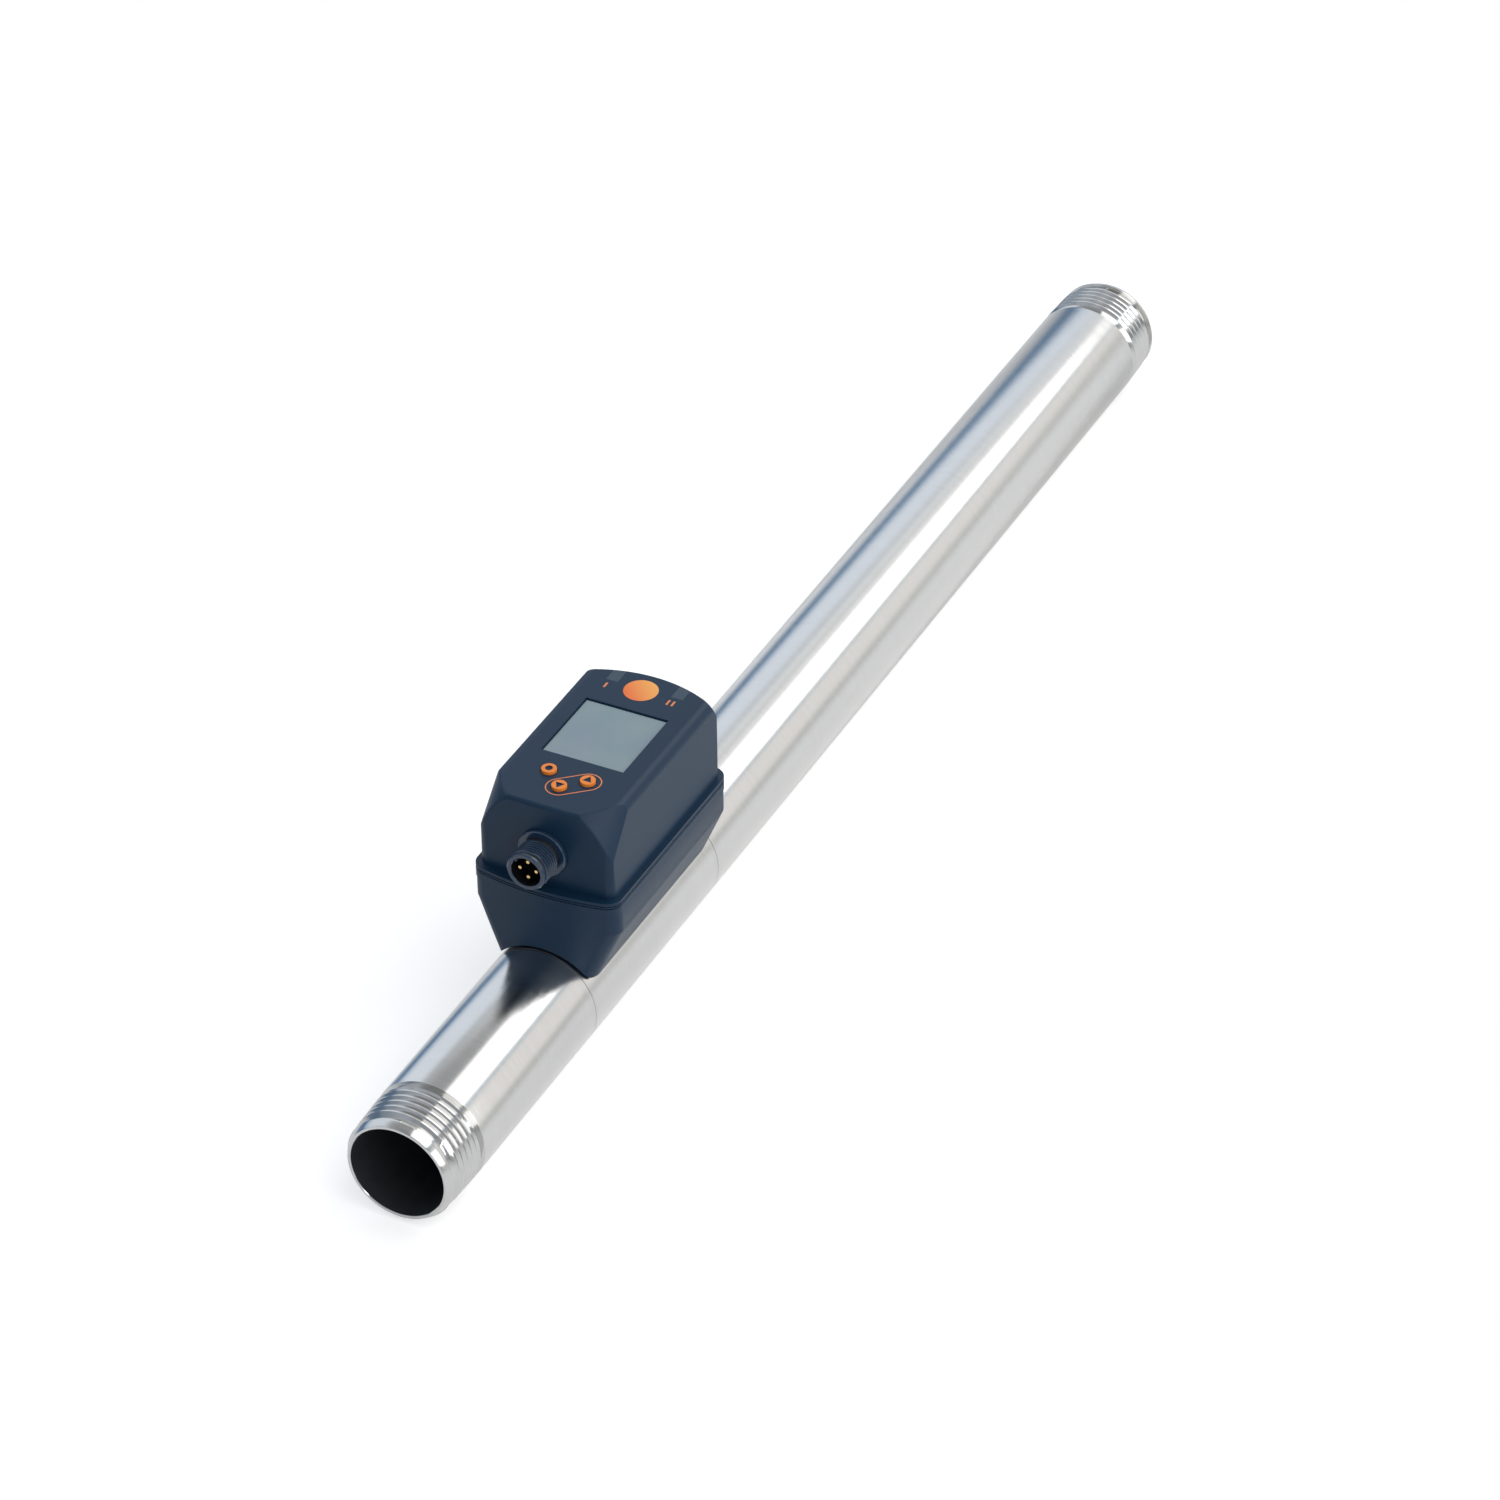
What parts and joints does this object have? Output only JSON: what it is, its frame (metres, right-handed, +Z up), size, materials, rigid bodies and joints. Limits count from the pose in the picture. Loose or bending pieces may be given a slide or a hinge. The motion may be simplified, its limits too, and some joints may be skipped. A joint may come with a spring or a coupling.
{
  "type": "compressed_air_flow_meter",
  "caption": "In-line compressed air flow meter: threaded stainless pipe with a dark blue-grey display housing, orange buttons and a round M12 connector",
  "frame": {"origin": "The centre of the inlet's end face, on the pipe's axis.", "axes": "+X runs along the pipe in the direction of flow, +Z up through the display, +Y to the left of someone who looks along the flow."},
  "size_m": [0.475, 0.045, 0.0822],
  "materials": {
    "steel_pipe": "Satin stainless tube, brushed around its axis.",
    "steel_turned": "Turned stainless steel.",
    "sensor_glass": "Glazed sensor tip.",
    "housing_plastic": "Dark blue-grey moulded plastic, finely textured.",
    "seal_rubber": "Dark seal rubber.",
    "window_glass": "Light grey-blue coated window.",
    "display_plastic": "Black display module.",
    "light_guide": "Translucent blue-grey light guide.",
    "board_laminate": "Green lacquered laminate.",
    "black_plastic": "Black moulded plastic.",
    "spacer_brass": "Turned brass.",
    "gold_contacts": "Gold-plated contact.",
    "lamp_plastic": "Yellowish lamp body.",
    "button_plastic": "Orange moulded button."
  },
  "bodies": {
    "meter": {"board_components": "black_plastic", "board_header": "black_plastic", "board_screws": "steel_turned", "board_spacers": "spacer_brass", "connector_board": "board_laminate", "connector_body": "steel_turned", "connector_nut": "steel_turned", "connector_seal": "seal_rubber", "contact_insert": "black_plastic", "contact_pins": "gold_contacts", "display_board": "board_laminate", "display_module": "display_plastic", "display_window": "window_glass", "first_output_light_guide": "light_guide", "heated_sensor_tip": "sensor_glass", "housing_saddle": "steel_turned", "housing_screws": "steel_turned", "housing_seal": "seal_rubber", "inlet_pipe": "steel_pipe", "key_switches": "black_plastic", "lower_housing": "housing_plastic", "main_board": "board_laminate", "outlet_pipe": "steel_pipe", "output_lamps": "lamp_plastic", "probe_nut": "steel_turned", "probe_pins": "gold_contacts", "probe_seal": "seal_rubber", "reference_sensor_tip": "sensor_glass", "second_output_light_guide": "light_guide", "sensor_boss": "steel_turned", "sensor_probe": "steel_turned", "sensor_section": "steel_pipe", "upper_housing": "housing_plastic"},
    "enter_button_body": {"enter_button": "button_plastic"},
    "down_button_body": {"down_button": "button_plastic"},
    "up_button_body": {"up_button": "button_plastic"}
  },
  "joints": [
    {"name": "enter_button_press", "type": "slide", "parent": "meter", "child": "enter_button_body", "axis": [0, 0, -1], "range_m": [0, 0.0007], "stiffness_N_per_m": 500, "springref_m": -0.0002},
    {"name": "down_button_press", "type": "slide", "parent": "meter", "child": "down_button_body", "axis": [0, 0, -1], "range_m": [0, 0.0007], "stiffness_N_per_m": 500, "springref_m": -0.0002},
    {"name": "up_button_press", "type": "slide", "parent": "meter", "child": "up_button_body", "axis": [0, 0, -1], "range_m": [0, 0.0007], "stiffness_N_per_m": 500, "springref_m": -0.0002}
  ]
}
